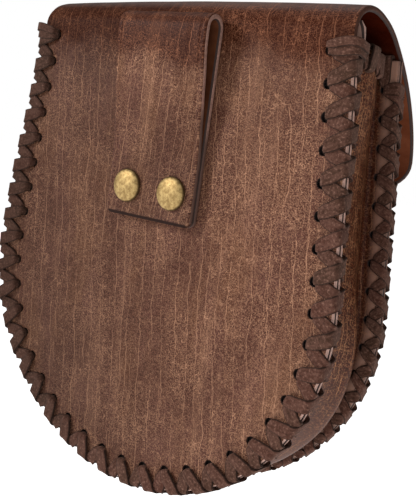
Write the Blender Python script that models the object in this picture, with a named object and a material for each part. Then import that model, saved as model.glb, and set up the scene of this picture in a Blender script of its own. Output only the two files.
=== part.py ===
"""Belt pouch of thick leather with laced seams, a rolled flap and a riveted belt loop.

Metres, +Z up. The back panel with the belt loop faces +Y, the flap hangs down the front at -Y.
The origin is where a belt bears under the top of the belt loop.
Everything is drawn from the middle of the bottom lace hole, and one empty moves it to the origin.
"""
import math

import bmesh
import bpy
from mathutils import Vector

# Leather and clearance
PANEL_THICK = 0.0024
LOOP_THICK = 0.0026
CLEARANCE = 0.0003

# Outline of the lace holes, seen from the front
HOLE_PITCH = 0.012
HOLES_PER_SIDE = 19
BOTTOM_RADIUS = 0.080
SIDE_LEAN_ANGLE = math.radians(5.9)
SEAM_TOP = 0.1869
BACK_MARGIN = 0.0088
FRONT_MARGIN = 0.0068

# Depth of the pouch
POUCH_DEPTH = 0.0554
FRONT_DROP = 0.0085
FRONT_TOP_RISE = 0.0050
GUSSET_INSET = 0.0035
GUSSET_BEND = 0.0022
GUSSET_BEND_STEPS = 2
# The gusset stands out between its seams from this run on, fully at the second one
TOP_BULGE = 0.0056
BULGE_START = 0.176
BULGE_FULL = 0.220
# Low down it stands out too, full up to one run and gone at another, from one depth to another
LOW_BULGE = 0.0090
LOW_BULGE_FULL = 0.075
LOW_BULGE_END = 0.165
LOW_BULGE_NEAR = 0.010
LOW_BULGE_PEAK = 0.0425
LOW_BULGE_FAR = 0.047

# Roll over the top and flap down the front, section by section along the leather
ROLL_RADIUS = 0.0116
ROLL_ANGLE = math.radians(69)
ROLL_STEPS = 5
ROLL_CROWN = 0.0013
FLAP_LENGTH = 0.120
FLAP_CORNER = 0.014
FLAP_INSET = 0.003
# Columns: share of the flap's length, turn in degrees, steps, and at the section's end the
# share of the crown and the share of the inset
FLAP_SECTIONS = (
    (0.083, 19.0, 2, 1.0, 0.5),
    (0.117, 13.0, 2, 0.9, 0.8),
    (0.167, 22.0, 3, 0.6, 1.0),
    (0.200, 9.0, 2, 0.3, 1.0),
    (0.233, 20.0, 3, 0.0, 1.0),
    (0.100, 22.5, 3, 0.0, 1.0),
    (0.100, 22.5, 1, 0.0, 1.0),
)
FLAP_COLUMNS = 8
CORNER_STEPS = 5

# Belt loop
LOOP_WIDTH = 0.045
LOOP_BOTTOM = 0.1072
LOOP_PARTING = 0.130
LOOP_FOLD = 0.186
LOOP_SLOT = 0.0065
LOOP_CORNER = 0.003

# Cap rivets
CAP_RADIUS = 0.007
CAP_RISE = 0.0024
CAP_RIM = 0.0008
POST_RADIUS = 0.0018
RIVET_BACK_RADIUS = 0.005
RIVET_BACK_THICK = 0.001
RIVET_SPACING = 0.0235
RIVET_HEIGHT = 0.120
RIVET_SIDES = 24

# Lacing
LACE_THICK = 0.0013
LACE_TIP = 0.0011
LACE_SPREAD = 0.0052
LACE_NOTCH = 0.0038
LACE_CROSS = 0.0008
LACE_END = 0.0045
TOP_LACE_CELLS = 3
TOP_LACE_FIRST = 0.0138
TOP_LACE_REACH = 0.0090

ARC_LENGTH = BOTTOM_RADIUS * (math.pi / 2 + SIDE_LEAN_ANGLE)
STACK = 2 * PANEL_THICK + CLEARANCE
# The last hole over the gusset's top keeps clear of the front seam's lacing
TOP_LACE_LAST = POUCH_DEPTH - STACK - GUSSET_BEND - 2 * (CLEARANCE + LACE_THICK)
TOP_LACE_PITCH = (TOP_LACE_LAST - TOP_LACE_FIRST) / TOP_LACE_CELLS


def clear_scene():
    for item in list(bpy.data.objects):
        bpy.data.objects.remove(item, do_unlink=True)


def outline_point(run, outward):
    """Place of a point by its run along the hole line from the bottom and its distance outside it."""
    side = -1.0 if run < 0 else 1.0
    length = abs(run)
    angle = min(length, ARC_LENGTH) / BOTTOM_RADIUS
    reach = BOTTOM_RADIUS + outward
    beyond = max(length - ARC_LENGTH, 0.0)
    x = reach * math.sin(angle) + beyond * math.cos(angle)
    z = BOTTOM_RADIUS - reach * math.cos(angle) + beyond * math.sin(angle)
    return side * x, z


def run_at_height(height):
    """Run along the straight side at which the hole line reaches a height."""
    start = outline_point(ARC_LENGTH, 0.0)[1]
    return ARC_LENGTH + (height - start) / math.cos(SIDE_LEAN_ANGLE)


TOP_RUN = run_at_height(SEAM_TOP)


def top_run(y):
    """Run at which the seams and the gusset end, a little higher towards the front."""
    return TOP_RUN - FRONT_TOP_RISE * min(y, 0.0) / POUCH_DEPTH


def pouch_point(run, outward, y):
    """A point of the pouch; the whole outline hangs lower towards the front."""
    x, z = outline_point(run, outward)
    return Vector((x, y, z + FRONT_DROP * min(y, 0.0) / POUCH_DEPTH))


def outline_runs(y, between=()):
    """Stations every half pitch round the bottom, then those between, if any, and the ends."""
    half = HOLE_PITCH / 2
    count = int(ARC_LENGTH / half)
    right = [index * half for index in range(1, count + 1)]
    right += [ARC_LENGTH, *between, top_run(y)]
    return [-run for run in reversed(right)] + [0.0] + right


def new_object(name, mesh, colour, roughness, metallic=0.0):
    item = bpy.data.objects.new(name, mesh)
    material = bpy.data.materials.new(name)
    material.use_nodes = True
    shader = material.node_tree.nodes["Principled BSDF"]
    shader.inputs["Base Color"].default_value = (*colour, 1.0)
    shader.inputs["Roughness"].default_value = roughness
    shader.inputs["Metallic"].default_value = metallic
    mesh.materials.append(material)
    bpy.context.scene.collection.objects.link(item)
    return item


def finish_mesh(bm, name, sharp_angle=math.radians(35)):
    bmesh.ops.recalc_face_normals(bm, faces=bm.faces)
    mesh = bpy.data.meshes.new(name)
    bm.to_mesh(mesh)
    bm.free()
    mesh.shade_smooth()
    mesh.set_sharp_from_angle(angle=sharp_angle)
    return mesh


def sheet_body(bm, outer, inner, faces):
    """Close a sheet: the same faces on both sides, and a wall along every open border."""
    tops = [bm.verts.new(point) for point in outer]
    bottoms = [bm.verts.new(point) for point in inner]
    edges = {}
    for face in faces:
        bm.faces.new([tops[index] for index in face])
        bm.faces.new([bottoms[index] for index in reversed(face)])
        for start, end in zip(face, face[1:] + face[:1]):
            edges[(start, end)] = True
    for start, end in edges:
        if (end, start) not in edges:
            bm.faces.new((tops[start], bottoms[start], bottoms[end], tops[end]))


def path_normals(points):
    """Unit normals of a path in the (y, z) plane, on its left side."""
    normals = []
    last = len(points) - 1
    for index in range(last + 1):
        before = points[max(index - 1, 0)]
        after = points[min(index + 1, last)]
        along = Vector((after[0] - before[0], after[1] - before[1])).normalized()
        normals.append((-along.y, along.x))
    return normals


def flap_profile():
    """Rows of the roll and flap: (y, z, crown share, inset share, length still to run)."""
    start_z = outline_point(TOP_RUN, BACK_MARGIN)[1]
    y, z, heading = 0.0, start_z, math.pi / 2
    rows = [(y, z, 0.0, 0.0, FLAP_LENGTH)]
    turn = ROLL_ANGLE / ROLL_STEPS
    chord = 2 * ROLL_RADIUS * math.sin(turn / 2)
    for step in range(ROLL_STEPS):
        heading += turn
        y += chord * math.cos(heading - turn / 2)
        z += chord * math.sin(heading - turn / 2)
        rows.append((y, z, (step + 1) / ROLL_STEPS, 0.0, FLAP_LENGTH))
    crown, inset, left = 1.0, 0.0, FLAP_LENGTH
    for share, degrees, steps, crown_end, inset_end in FLAP_SECTIONS:
        length = share * FLAP_LENGTH / steps
        turn = math.radians(degrees) / steps
        crown_step = (crown_end - crown) / steps
        inset_step = (inset_end - inset) / steps
        for _ in range(steps):
            heading += turn / 2
            y += length * math.cos(heading)
            z += length * math.sin(heading)
            heading += turn / 2
            crown += crown_step
            inset += inset_step
            left -= length
            rows.append((y, z, crown, inset, max(left, 0.0)))
    return rows


def add_corner_rows(rows):
    """Split the flap's last, straight stretch so that its corners can be round."""
    y0, z0, crown, inset, _ = rows[-2]
    y1, z1 = rows[-1][:2]
    length = math.hypot(y1 - y0, z1 - z0)
    result = rows[:-1]
    for step in range(0 if FLAP_CORNER < length else 1, CORNER_STEPS + 1):
        angle = math.pi / 2 * step / CORNER_STEPS
        left = min(FLAP_CORNER, length) * (1 - math.sin(angle))
        share = 1 - left / length
        result.append((y0 + (y1 - y0) * share, z0 + (z1 - z0) * share, crown, inset, left))
    return result


def flap_half_width(full, inset, left):
    """Half the flap's width, with its inset past the roll and its round lower corners."""
    half = full - FLAP_INSET * inset
    if left < FLAP_CORNER:
        short = FLAP_CORNER - left
        half -= FLAP_CORNER - math.sqrt(max(FLAP_CORNER ** 2 - short ** 2, 0.0))
    return half


def back_panel():
    runs = outline_runs(0.0)
    rows = add_corner_rows(flap_profile())
    normals = path_normals([(row[0], row[1]) for row in rows])
    normals[0] = (-1.0, 0.0)
    full = outline_point(TOP_RUN, BACK_MARGIN)[0]
    outer, inner = [], []
    for run in runs[1:-1]:
        outer.append(pouch_point(run, BACK_MARGIN, 0.0))
        inner.append(outer[-1] + Vector((0.0, -PANEL_THICK, 0.0)))
    rim = list(range(len(outer)))
    for (y, z, crown, inset, left), (normal_y, normal_z) in zip(rows, normals):
        half = flap_half_width(full, inset, left)
        for column in range(FLAP_COLUMNS + 1):
            across = 1 - 2 * column / FLAP_COLUMNS
            rise = ROLL_CROWN * crown * (1 - across ** 2)
            point = Vector((half * across, y, z)) - rise * Vector((0.0, normal_y, normal_z))
            outer.append(point)
            inner.append(point + PANEL_THICK * Vector((0.0, normal_y, normal_z)))
    width = FLAP_COLUMNS + 1
    first = len(rim)
    faces = [rim + list(range(first, first + width))]
    for row in range(len(rows) - 1):
        for column in range(FLAP_COLUMNS):
            corner = first + row * width + column
            faces.append([corner + 1, corner, corner + width, corner + width + 1])
    bm = bmesh.new()
    sheet_body(bm, outer, inner, faces)
    return new_object("back_panel", finish_mesh(bm, "back_panel"), (0.18, 0.075, 0.045), 0.5)


def front_panel():
    runs = outline_runs(-POUCH_DEPTH)
    front = [pouch_point(run, FRONT_MARGIN, -POUCH_DEPTH) for run in runs]
    back = [pouch_point(run, FRONT_MARGIN, PANEL_THICK - POUCH_DEPTH) for run in runs]
    bm = bmesh.new()
    sheet_body(bm, back, front, [list(range(len(front)))])
    return new_object("front_panel", finish_mesh(bm, "front_panel"), (0.18, 0.075, 0.045), 0.5)


def gusset_bend(outside):
    """The bend from the back flange into the web as (outward, y)."""
    flange_y = -(STACK if outside else PANEL_THICK + CLEARANCE)
    radius = GUSSET_BEND + (0.0 if outside else PANEL_THICK)
    centre_out = GUSSET_BEND - GUSSET_INSET
    centre_y = -(STACK + GUSSET_BEND)
    points = []
    for step in range(GUSSET_BEND_STEPS + 1):
        angle = math.pi / 2 * step / GUSSET_BEND_STEPS
        points.append((centre_out - radius * math.sin(angle), centre_y + radius * math.cos(angle)))
    return flange_y, points


def web_stations():
    """Depths at which the web between the gusset's bends is drawn, those of the top lacing's
    holes, so that each strand between two holes lies on a flat stretch."""
    return [-TOP_LACE_FIRST - index * TOP_LACE_PITCH for index in range(TOP_LACE_CELLS + 1)]


def bulge_shape(y):
    """Share of the bulge at a depth, most a little in front of the middle and straight between
    the web's stations."""
    ends = STACK + GUSSET_BEND
    places = [-ends] + web_stations() + [ends - POUCH_DEPTH]
    heights = []
    for place in places:
        depth = (-place - ends) / (POUCH_DEPTH - 2 * ends)
        heights.append(max(math.sin(math.pi * depth ** 1.3), 0.0))
    for index in range(len(places) - 1):
        if places[index] >= y >= places[index + 1]:
            share = (places[index] - y) / (places[index] - places[index + 1])
            return heights[index] + share * (heights[index + 1] - heights[index])
    return 0.0


def eased(value, low, high):
    """Smooth rise from 0 to 1 between two values."""
    share = min(max((value - low) / (high - low), 0.0), 1.0)
    return share * share * (3 - 2 * share)


def gusset_bulge(run, y):
    """How far the gusset stands out: near its free top edge, and low down by the front seam."""
    top = TOP_BULGE * eased(abs(run), BULGE_START, BULGE_FULL) * bulge_shape(y)
    depth = min(max((-y - LOW_BULGE_NEAR) / (LOW_BULGE_FAR - LOW_BULGE_NEAR), 0.0), 1.0)
    peak = (LOW_BULGE_PEAK - LOW_BULGE_NEAR) / (LOW_BULGE_FAR - LOW_BULGE_NEAR)
    skewed = depth ** (math.log(0.5) / math.log(peak))
    low = LOW_BULGE * (1 - eased(abs(run), LOW_BULGE_FULL, LOW_BULGE_END))
    return top + low * max(math.sin(math.pi * skewed), 0.0)


def gusset_section(outside):
    """Flange, bend, web, bend and flange; the front bend mirrors the back one."""
    flange_y, bend = gusset_bend(outside)
    stations = sorted(web_stations() + [-LOW_BULGE_PEAK], reverse=True)
    web = [(bend[-1][0], y) for y in stations]
    front_bend = [(out, -POUCH_DEPTH - y) for out, y in reversed(bend)]
    front_edge = (FRONT_MARGIN, -POUCH_DEPTH - flange_y)
    return [(BACK_MARGIN, flange_y)] + bend + web + front_bend + [front_edge]


def gusset_side(outside):
    """Points of one side of the gusset, section row by section row, and the length of a row."""
    between = (BULGE_START, (BULGE_START + BULGE_FULL) / 2, BULGE_FULL)
    points = []
    for out, y in gusset_section(outside):
        runs = outline_runs(y, between)
        points += [pouch_point(run, out + gusset_bulge(run, y), y) for run in runs]
    return points, len(runs)


def gusset():
    outer, width = gusset_side(True)
    inner, _ = gusset_side(False)
    faces = []
    for row in range(len(outer) // width - 1):
        for column in range(width - 1):
            corner = row * width + column
            faces.append([corner, corner + 1, corner + width + 1, corner + width])
    bm = bmesh.new()
    sheet_body(bm, outer, inner, faces)
    return new_object("gusset", finish_mesh(bm, "gusset"), (0.12, 0.045, 0.03), 0.55)


def loop_path():
    """Middle line of the strap in (y, z): up the back layer, over the fold, down the front layer."""
    back_y = CLEARANCE + LOOP_THICK / 2
    near_y = back_y + LOOP_THICK + CLEARANCE
    far_y = back_y + LOOP_THICK + LOOP_SLOT
    radius = (far_y - back_y) / 2
    up = [(back_y, LOOP_BOTTOM), (back_y, LOOP_BOTTOM + LOOP_CORNER), (back_y, LOOP_FOLD)]
    fold = []
    for step in range(1, 9):
        angle = math.pi * step / 8
        fold.append((back_y + radius * (1 - math.cos(angle)), LOOP_FOLD + radius * math.sin(angle)))
    down = []
    for step in range(1, 7):
        share = step / 6
        blend = 1 - share * share * (3 - 2 * share)
        z = LOOP_FOLD + (LOOP_PARTING - LOOP_FOLD) * share
        down.append((near_y + (far_y - near_y) * blend, z))
    return up + fold + down + [(near_y, LOOP_BOTTOM + LOOP_CORNER), (near_y, LOOP_BOTTOM)]


def belt_loop():
    path = loop_path()
    normals = path_normals(path)
    half = LOOP_WIDTH / 2
    outer, inner = [], []
    last = len(path) - 1
    for index, ((y, z), (normal_y, normal_z)) in enumerate(zip(path, normals)):
        reach = half - (LOOP_CORNER if index in (0, last) else 0.0)
        offset = LOOP_THICK / 2 * Vector((0.0, normal_y, normal_z))
        for x in (-reach, reach):
            outer.append(Vector((x, y, z)) + offset)
            inner.append(Vector((x, y, z)) - offset)
    faces = [[2 * row, 2 * row + 1, 2 * row + 3, 2 * row + 2] for row in range(last)]
    bm = bmesh.new()
    sheet_body(bm, outer, inner, faces)
    return new_object("belt_loop", finish_mesh(bm, "belt_loop"), (0.18, 0.075, 0.045), 0.5)


def rivet_profile():
    """Half section of a cap rivet as (radius, y): dome, post and back disc."""
    seat = 2 * (CLEARANCE + LOOP_THICK) + CLEARANCE
    back = -PANEL_THICK - CLEARANCE
    dome = []
    for step in range(5):
        angle = math.pi / 2 * step / 5
        dome.append((CAP_RADIUS * math.cos(angle), seat + CAP_RIM + CAP_RISE * math.sin(angle)))
    dome.reverse()
    points = [(0.0, seat + CAP_RIM + CAP_RISE)] + dome
    points += [(CAP_RADIUS, seat), (POST_RADIUS, seat), (POST_RADIUS, back)]
    points += [(RIVET_BACK_RADIUS, back), (RIVET_BACK_RADIUS, back - RIVET_BACK_THICK)]
    return points + [(0.0, back - RIVET_BACK_THICK)]


def turned_mesh(name, profile, sides):
    """Turn a (radius, y) profile about the Y axis into one closed body."""
    bm = bmesh.new()
    verts = [bm.verts.new((radius, y, 0.0)) for radius, y in profile]
    edges = [bm.edges.new(pair) for pair in zip(verts, verts[1:])]
    bmesh.ops.spin(bm, geom=verts + edges, cent=(0, 0, 0), axis=(0, 1, 0), dvec=(0, 0, 0),
                   angle=2 * math.pi, steps=sides, use_merge=True)
    bmesh.ops.remove_doubles(bm, verts=bm.verts, dist=1e-6)
    return finish_mesh(bm, name)


def cap_rivets():
    mesh = turned_mesh("cap_rivet", rivet_profile(), RIVET_SIDES)
    for name, side in (("cap_rivet_left", -1), ("cap_rivet_right", 1)):
        item = new_object(name, mesh.copy(), (0.45, 0.33, 0.12), 0.35, 1.0)
        item.location = (side * RIVET_SPACING / 2, 0.0, RIVET_HEIGHT)


def cut_rivet_holes(leathers):
    """Cut clear holes for both rivet posts through the loop's layers and the back panel."""
    radius = POST_RADIUS + CLEARANCE
    reach = 2 * (LOOP_THICK + CLEARANCE) + PANEL_THICK
    profile = [(0.0, reach), (radius, reach), (radius, -reach), (0.0, -reach)]
    for side in (-1, 1):
        cutter = bpy.data.objects.new("post_cutter", turned_mesh("post_cutter", profile, 16))
        bpy.context.scene.collection.objects.link(cutter)
        cutter.location = (side * RIVET_SPACING / 2, 0.0, RIVET_HEIGHT)
        cutter.hide_render = True
        cutter.display_type = "WIRE"
        for leather in leathers:
            hole = leather.modifiers.new("post hole", "BOOLEAN")
            hole.operation = "DIFFERENCE"
            hole.object = cutter


class LaceNet:
    """Crossed lace round an edge: an X over the edge between holes, a V to each hole on both faces."""

    def __init__(self, place, half_stack, tip_depth, tip_spread, notch_depth):
        self.place = place
        self.half_stack = half_stack
        self.tip_depth = tip_depth
        self.tip_spread = tip_spread
        self.notch_depth = notch_depth
        self.keys = {}
        self.points = []
        self.faces = []

    def vertex(self, along, depth, across):
        """Across is +1 on the outer face, 0 on the cut edge's middle and -1 on the inner face."""
        key = (round(along, 6), round(depth, 6), across)
        if key not in self.keys:
            self.keys[key] = len(self.points)
            self.points.append((along, depth, across))
        return self.keys[key]

    def half_cell(self, hole, cross):
        """The two strands from a hole's tips to the crossing beside it."""
        spread_depth = self.tip_depth - self.tip_spread
        share = spread_depth / (spread_depth + self.half_stack)
        leave = hole + (cross - hole) * share
        for side in (1, -1):
            tip = self.vertex(hole, self.tip_depth, side)
            spread = self.vertex(hole, spread_depth, side)
            bend = self.vertex(leave, 0.0, side)
            corner = self.vertex(cross, 0.0, side)
            notch = self.vertex(cross, self.notch_depth, side)
            middle = self.vertex(cross, 0.0, 0)
            turn = side * (1 if cross > hole else -1)
            self.add([tip, spread, bend, corner, notch], turn)
            self.add([bend, middle, corner], turn)

    def band(self, start, end, depths):
        """A strip straight over the edge between two places along it."""
        rows = []
        for along in (start, end):
            row = [self.vertex(along, depth, 1) for depth in depths]
            row.append(self.vertex(along, 0.0, 0))
            row += [self.vertex(along, depth, -1) for depth in reversed(depths)]
            rows.append(row)
        for index in range(len(rows[0]) - 1):
            self.add([rows[0][index], rows[0][index + 1], rows[1][index + 1], rows[1][index]], 1)

    def add(self, face, turn):
        self.faces.append(face if turn > 0 else face[::-1])

    def body(self, name, colour):
        layers = []
        for lift in (CLEARANCE + LACE_THICK, CLEARANCE):
            layer = []
            for along, depth, across in self.points:
                over = depth if depth > 0 else -lift
                layer.append(self.place(along, over, across * (self.half_stack + lift)))
            layers.append(layer)
        bm = bmesh.new()
        sheet_body(bm, layers[0], layers[1], self.faces)
        return new_object(name, finish_mesh(bm, name), colour, 0.85)


def seam_lacing(name, outer_y, margin, facing):
    """Lacing of one seam; facing is +1 where the panel's outer face looks along +Y."""
    def place(along, depth, across):
        y = outer_y + facing * (across - STACK / 2)
        return pouch_point(along, margin - depth, y)

    tip = margin + LACE_TIP
    net = LaceNet(place, STACK / 2, tip, LACE_SPREAD, LACE_NOTCH)
    last = HOLES_PER_SIDE
    for index in range(-last, last):
        start = index * HOLE_PITCH
        middle = start + HOLE_PITCH / 2
        net.half_cell(start, middle - LACE_CROSS)
        net.band(middle - LACE_CROSS, middle + LACE_CROSS, (LACE_NOTCH, 0.0))
        net.half_cell(start + HOLE_PITCH, middle + LACE_CROSS)
    depths = (tip, tip - LACE_SPREAD, 0.0)
    top = last * HOLE_PITCH
    net.band(top, top + LACE_END, depths)
    net.band(-top - LACE_END, -top, depths)
    return net.body(name, (0.1, 0.055, 0.04))


def top_lacing(name, side):
    """Lacing over the gusset's top edge, between the two seams."""
    def place(along, depth, across):
        y = -TOP_LACE_FIRST - along
        run = side * (top_run(y) - depth)
        outward = -GUSSET_INSET - PANEL_THICK / 2 + gusset_bulge(run, y) + across
        return pouch_point(run, outward, y)

    net = LaceNet(place, PANEL_THICK / 2, TOP_LACE_REACH, LACE_SPREAD, LACE_NOTCH)
    for index in range(TOP_LACE_CELLS):
        start = index * TOP_LACE_PITCH
        middle = start + TOP_LACE_PITCH / 2
        net.half_cell(start, middle - LACE_CROSS)
        net.band(middle - LACE_CROSS, middle + LACE_CROSS, (LACE_NOTCH, 0.0))
        net.half_cell(start + TOP_LACE_PITCH, middle + LACE_CROSS)
    return net.body(name, (0.1, 0.055, 0.04))


def bearing_point():
    """Middle of the loop's inner top, where a belt's upper edge bears."""
    radius = (LOOP_THICK + LOOP_SLOT) / 2
    y = CLEARANCE + LOOP_THICK / 2 + radius
    return Vector((0.0, y, LOOP_FOLD + radius - LOOP_THICK / 2))


def build():
    clear_scene()
    panel = back_panel()
    loop = belt_loop()
    front_panel()
    gusset()
    cap_rivets()
    cut_rivet_holes((panel, loop))
    seam_lacing("back_lacing", 0.0, BACK_MARGIN, 1)
    seam_lacing("front_lacing", -POUCH_DEPTH, FRONT_MARGIN, -1)
    top_lacing("left_top_lacing", -1)
    top_lacing("right_top_lacing", 1)
    base = bpy.data.objects.new("pouch_origin", None)
    bpy.context.scene.collection.objects.link(base)
    base.location = -bearing_point()
    for item in bpy.context.scene.objects:
        if item is not base:
            item.parent = base


build()
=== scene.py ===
"""Looks of a laced leather belt pouch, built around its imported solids.

Metres, +Z up, the belt side faces +Y. Pieces are drawn from the middle of the bottom lace hole,
as the source of the solids draws them, and mesh_object() moves them to the frame's origin.
"""
import math
import random

import bpy
import numpy as np
from mathutils import Matrix, Vector, noise


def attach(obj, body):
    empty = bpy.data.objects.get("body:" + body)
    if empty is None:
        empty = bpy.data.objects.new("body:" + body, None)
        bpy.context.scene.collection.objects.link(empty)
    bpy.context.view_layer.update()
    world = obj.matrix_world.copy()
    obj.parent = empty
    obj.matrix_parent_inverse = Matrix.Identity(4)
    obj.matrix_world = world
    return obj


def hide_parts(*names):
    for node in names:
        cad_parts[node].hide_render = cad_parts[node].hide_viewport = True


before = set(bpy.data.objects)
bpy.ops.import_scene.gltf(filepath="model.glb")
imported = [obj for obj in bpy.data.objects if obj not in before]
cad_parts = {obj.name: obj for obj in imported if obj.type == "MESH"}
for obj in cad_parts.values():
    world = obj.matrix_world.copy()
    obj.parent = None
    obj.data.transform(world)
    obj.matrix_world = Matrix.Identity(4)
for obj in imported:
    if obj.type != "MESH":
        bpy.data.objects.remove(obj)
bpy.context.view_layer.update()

# Sizes that the solids have too
PANEL_THICK = 0.0024
LOOP_THICK = 0.0026
CLEARANCE = 0.0003
HOLE_PITCH = 0.012
HOLES_PER_SIDE = 19
BOTTOM_RADIUS = 0.080
SIDE_LEAN = math.radians(5.9)
SEAM_TOP = 0.1885
BACK_MARGIN = 0.0088
FRONT_MARGIN = 0.0068
POUCH_DEPTH = 0.0554
FRONT_DROP = 0.0085
FRONT_TOP_RISE = 0.0055
GUSSET_INSET = 0.0035
GUSSET_BEND = 0.0022
ROLL_CROWN = 0.0013
ROLL_TILT = 0.0018
ROLL_START_DROP = 0.0016
FLAP_CORNER = 0.014
FLAP_INSET = 0.003
# Length, turn in degrees, share of the crown and share of the inset at the end of each section
FLAP_SECTIONS = (
    (0.006, 35.0, 0.6, 0.15),
    (0.008, 34.0, 1.0, 0.25),
    (0.010, 19.0, 1.0, 0.50),
    (0.014, 13.0, 0.9, 0.80),
    (0.020, 22.0, 0.6, 1.0),
    (0.024, 9.0, 0.3, 1.0),
    (0.028, 20.0, 0.0, 1.0),
    (0.024, 45.0, 0.0, 1.0),
)
LOOP_WIDTH = 0.045
LOOP_BOTTOM = 0.1072
LOOP_PARTING = 0.130
LOOP_FOLD = 0.186
LOOP_SLOT = 0.0065
CAP_RADIUS = 0.007
RIVET_SPACING = 0.0235
RIVET_HEIGHT = 0.120
TOP_LACE_REACH = 0.0095
TOP_LACE_FIRST = 0.0150
TOP_LACE_STEPS = 3
BULGE_GAP = 0.0012
GUSSET_BULGE = 0.0008
TOP_BULGE = 0.0058
TOP_BULGE_START = 0.175
TOP_BULGE_FULL = 0.232
LOW_BULGE = 0.0090
LOW_BULGE_FULL = 0.075
LOW_BULGE_END = 0.165
LOW_BULGE_NEAR = 0.010
LOW_BULGE_PEAK = 0.0425
LOW_BULGE_FAR = 0.047

STACK = 2 * PANEL_THICK + CLEARANCE
ARC_LENGTH = BOTTOM_RADIUS * (math.pi / 2 + SIDE_LEAN)
LOOP_BACK_Y = CLEARANCE + LOOP_THICK / 2
LOOP_RADIUS = (LOOP_THICK + LOOP_SLOT) / 2
FRONT_Y = -POUCH_DEPTH
HOLE_RUNS = np.arange(-HOLES_PER_SIDE, HOLES_PER_SIDE + 1) * HOLE_PITCH
BEARING = np.array([0.0, LOOP_BACK_Y + LOOP_RADIUS, LOOP_FOLD + LOOP_RADIUS - LOOP_THICK / 2])

# Sizes that only the looks have
EDGE_ROUND = 0.0010
LOOP_EDGE_ROUND = 0.0009
LOOP_CORNER = 0.0030
EAR_HEIGHT = 0.0042
EAR_SLOPE = 0.0022
RIM_FLARE = 0.0023
LACE_WIDTH = 0.0055
FRONT_LACE_WIDTH = 0.0047
LACE_THICK = 0.0010
HOLE_RADIUS = 0.0021
FRONT_HOLE_RADIUS = 0.0017
HOLE_SHIFT = -0.0003
FRONT_HOLE_SHIFT = 0.0013
POST_HOLE_RADIUS = 0.0022
# How far in from a seam's face its hole line is taken, how deep it is cut, and the mouth left dark
HOLE_LEVEL = 0.0026
CUT_DEPTH = 0.0062
MOUTH_DEPTH = 0.0016
# Half widths within which the panels may ripple, and the run of the corners of their grids
BACK_CALM = 0.0755
FRONT_CALM = 0.0735
PANEL_CORNER = 0.060
# Counts of the sheets' grids, across and along each part
PANEL_COLUMNS, PANEL_ROWS, FLAP_ROWS = 81, 88, 100
GUSSET_COLUMNS, FLANGE_ROWS, BEND_ROWS, WEB_ROWS = 257, 7, 7, 36
LOOP_COLUMNS, LOOP_ROWS = 35, 116

# Where the sheets' coordinates start, so that no two sheets show the same leather
FRONT_SHEET = np.array([0.31, 0.17])
GUSSET_SHEET = np.array([0.6, 0.4])
LOOP_SHEET = np.array([0.11, 0.52])


def smooth(value, low, high):
    share = np.clip((np.asarray(value, float) - low) / (high - low), 0.0, 1.0)
    return share * share * (3 - 2 * share)


def unit(vectors):
    return vectors / np.maximum(np.linalg.norm(vectors, axis=-1, keepdims=True), 1e-12)


def wobble(points, size, seed):
    """Smooth noise from -1 to 1 at each point, with bumps of about that size."""
    flat = points.reshape(-1, 3) / size
    found = [noise.noise(Vector((p[0] + seed, p[1] + 2.3 * seed, p[2] - seed))) for p in flat]
    return np.array(found).reshape(points.shape[:-1])


def running(steps):
    """Running total of the steps, from 0."""
    return np.concatenate([[0.0], np.cumsum(steps)])


def length_along(points):
    return running(np.linalg.norm(np.diff(points, axis=0), axis=1))


# The outline of the pouch

def outline(run, outward):
    """x and z by the run along the hole line from the bottom and the distance outside it."""
    run, outward = np.broadcast_arrays(np.asarray(run, float), np.asarray(outward, float))
    side = np.where(run < 0, -1.0, 1.0)
    length = np.abs(run)
    angle = np.minimum(length, ARC_LENGTH) / BOTTOM_RADIUS
    reach = BOTTOM_RADIUS + outward
    beyond = np.maximum(length - ARC_LENGTH, 0.0)
    x = reach * np.sin(angle) + beyond * np.cos(angle)
    z = BOTTOM_RADIUS - reach * np.cos(angle) + beyond * np.sin(angle)
    return side * x, z


def pouch(run, outward, y):
    """Points of the pouch; the outline hangs lower towards the front."""
    x, z = outline(run, outward)
    x, y, z = np.broadcast_arrays(x, np.asarray(y, float), z)
    return np.stack([x, y, z + FRONT_DROP * np.minimum(y, 0.0) / POUCH_DEPTH], axis=-1)


TOP_RUN = ARC_LENGTH + (SEAM_TOP - float(outline(ARC_LENGTH, 0.0)[1])) / math.cos(SIDE_LEAN)
ROLL_START = TOP_RUN - ROLL_START_DROP


def top_run(y):
    return TOP_RUN - FRONT_TOP_RISE * np.minimum(y, 0.0) / POUCH_DEPTH


def bulge(run, y):
    """How far the gusset stands out between its seams, most at its free top edge and its bottom."""
    length, inward = np.abs(run), -np.asarray(y)
    depth = np.clip((inward - STACK - BULGE_GAP) / (POUCH_DEPTH - 2 * STACK - 2 * BULGE_GAP), 0.0, 1.0)
    even = GUSSET_BULGE * np.sin(math.pi * depth)
    top = TOP_BULGE * smooth(length, TOP_BULGE_START, TOP_BULGE_FULL)
    top = top * np.sin(math.pi * depth ** 1.35) ** 0.7
    span = LOW_BULGE_FAR - LOW_BULGE_NEAR
    skew = math.log(0.5) / math.log((LOW_BULGE_PEAK - LOW_BULGE_NEAR) / span)
    low_depth = np.clip((inward - LOW_BULGE_NEAR) / span, 0.0, 1.0)
    low = LOW_BULGE * (1 - smooth(length, LOW_BULGE_FULL, LOW_BULGE_END))
    return even + top + low * np.maximum(np.sin(math.pi * low_depth ** skew), 0.0)


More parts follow.
